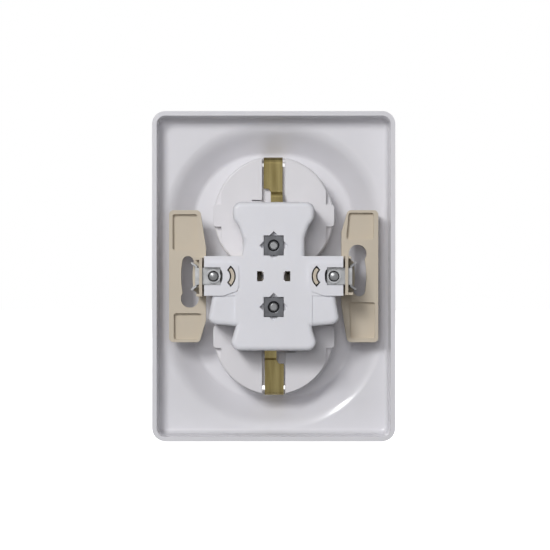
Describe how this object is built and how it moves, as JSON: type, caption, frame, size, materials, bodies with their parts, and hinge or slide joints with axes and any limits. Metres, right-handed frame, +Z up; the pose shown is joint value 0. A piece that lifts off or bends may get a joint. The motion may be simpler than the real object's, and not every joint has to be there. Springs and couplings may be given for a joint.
{
  "type": "duplex wall outlet",
  "caption": "Flush wall outlet with two round earthed plug recesses in a rectangular raised cover, a keyhole-slotted mounting frame, spreading claws and a contact base behind.",
  "frame": {"origin": "midpoint between the two box screws, on the wall plane", "axes": "+Y into the wall, -Y out to the room, +Z up along the two socket wells, +X to the right as seen from the room"},
  "size_m": [0.084, 0.0392, 0.114],
  "materials": {
    "cover_white": "glossy",
    "well_white": "satin",
    "insert_white": "satin",
    "frame_beige": "matte",
    "shutter_beige": "matte",
    "contact_brass": "rolled",
    "zinc_steel": "zinc plated"
  },
  "bodies": {
    "outlet": {"front_cover": "cover_white", "socket_well_upper": "well_white", "socket_well_lower": "well_white", "shutter_lid_upper": "well_white", "shutter_lid_lower": "well_white", "shutter_springs_upper": "zinc_steel", "shutter_springs_lower": "zinc_steel", "support_frame": "frame_beige", "contact_base": "insert_white", "rear_cover": "insert_white", "earth_strap": "contact_brass", "centre_earth_clip": "contact_brass", "line_contact": "contact_brass", "neutral_contact": "contact_brass", "line_terminal": "contact_brass", "neutral_terminal": "contact_brass", "earth_terminal": "contact_brass", "line_terminal_screw": "zinc_steel", "neutral_terminal_screw": "zinc_steel", "earth_terminal_screw": "zinc_steel", "cover_screw_upper": "zinc_steel", "cover_screw_lower": "zinc_steel", "cover_nut_upper": "zinc_steel", "cover_nut_lower": "zinc_steel"},
    "shutter_upper": {"shutter_upper": "shutter_beige"},
    "shutter_lower": {"shutter_lower": "shutter_beige"},
    "claw_right": {"claw_right": "zinc_steel"},
    "claw_left": {"claw_left": "zinc_steel"},
    "claw_screw_right": {"claw_screw_right": "zinc_steel"},
    "claw_screw_left": {"claw_screw_left": "zinc_steel"}
  },
  "joints": [
    {"name": "shutter_upper_slide", "type": "slide", "parent": "outlet", "child": "shutter_upper", "axis": [0, 0, -1], "range_m": [0, 0.0062], "stiffness_N_per_m": 150, "springref_m": -0.003, "deforming": ["shutter_springs_upper"]},
    {"name": "shutter_lower_slide", "type": "slide", "parent": "outlet", "child": "shutter_lower", "axis": [0, 0, 1], "range_m": [0, 0.0062], "stiffness_N_per_m": 150, "springref_m": -0.003, "deforming": ["shutter_springs_lower"]},
    {"name": "claw_screw_right_turn", "type": "hinge", "parent": "outlet", "child": "claw_screw_right", "pos_m": [0.0204, 0, 0], "axis": [0, 1, 0], "range_deg": [0, 1080]},
    {"name": "claw_screw_left_turn", "type": "hinge", "parent": "outlet", "child": "claw_screw_left", "pos_m": [-0.0204, 0, 0], "axis": [0, 1, 0], "range_deg": [0, 1080]},
    {"name": "claw_right_swing", "type": "hinge", "parent": "outlet", "child": "claw_right", "pos_m": [0.0247, 0.0146, 0], "axis": [0, 0, 1], "range_deg": [0, 15]},
    {"name": "claw_left_swing", "type": "hinge", "parent": "outlet", "child": "claw_left", "pos_m": [-0.0247, 0.0146, 0], "axis": [0, 0, -1], "range_deg": [0, 15]}
  ],
  "couplings": [
    {"joint": "claw_right_swing", "follows": "claw_screw_right_turn", "ratio": 0.013889},
    {"joint": "claw_left_swing", "follows": "claw_screw_left_turn", "ratio": 0.013889}
  ]
}
